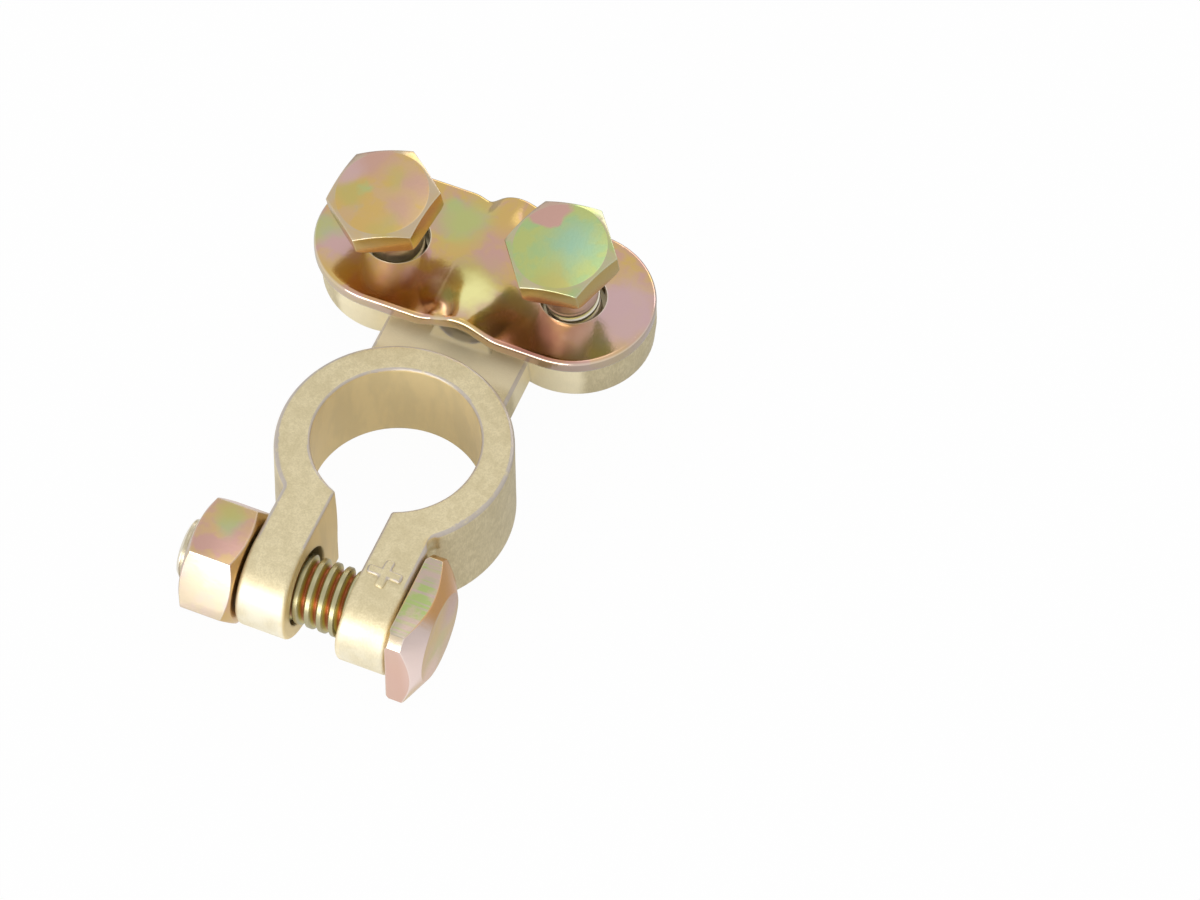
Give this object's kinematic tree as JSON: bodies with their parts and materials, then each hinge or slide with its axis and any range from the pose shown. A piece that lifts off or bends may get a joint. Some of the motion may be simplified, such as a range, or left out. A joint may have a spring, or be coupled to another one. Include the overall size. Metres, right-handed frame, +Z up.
{
  "type": "battery terminal clamp",
  "caption": "Cast battery post clamp: split tapered ring closed by a square-head bolt and nut, with a bolted saddle strap for the cable.",
  "frame": {"origin": "on the axis of the post bore, in the plane of the ring's bottom face", "axes": "+Z up along the post bore, +Y from the split ears to the cable saddle, +X towards the square head of the pinch bolt"},
  "size_m": [0.0401, 0.0607, 0.0247],
  "materials": {
    "cast_brass": "satin, sand-cast grain",
    "plated_steel": "yellow-chromate zinc plating"
  },
  "bodies": {
    "clamp": {"clamp_body": "cast_brass"},
    "strap": {"saddle_plate": "plated_steel"},
    "left_bolt": {"saddle_bolt_left": "plated_steel"},
    "right_bolt": {"saddle_bolt_right": "plated_steel"},
    "pinch": {"pinch_bolt": "plated_steel"},
    "nut": {"pinch_nut": "plated_steel"}
  },
  "joints": [
    {"name": "nut_turn", "type": "hinge", "parent": "clamp", "child": "nut", "pos_m": [-0.0091, -0.0178, 0.0062], "axis": [-1, 0, 0], "range_deg": [0, 1980]},
    {"name": "pinch_bolt_slide", "type": "slide", "parent": "clamp", "child": "pinch", "axis": [1, 0, 0], "range_m": [0, 0.00777]},
    {"name": "saddle_plate_lift", "type": "slide", "parent": "clamp", "child": "strap", "axis": [-0.0786, -0.1671, 0.9828], "range_m": [0, 0.0048]},
    {"name": "saddle_bolt_left_turn", "type": "hinge", "parent": "clamp", "child": "left_bolt", "pos_m": [-0.0107, 0.0259, 0.0087], "axis": [-0.0786, -0.1671, 0.9828], "range_deg": [-1440, 1080]},
    {"name": "saddle_bolt_right_turn", "type": "hinge", "parent": "clamp", "child": "right_bolt", "pos_m": [0.0107, 0.0259, 0.0087], "axis": [-0.0786, -0.1671, 0.9828], "range_deg": [-1800, 720]}
  ],
  "couplings": [
    {"joint": "pinch_bolt_slide", "follows": "nut_turn", "m_per_rad": 0.00022457}
  ]
}
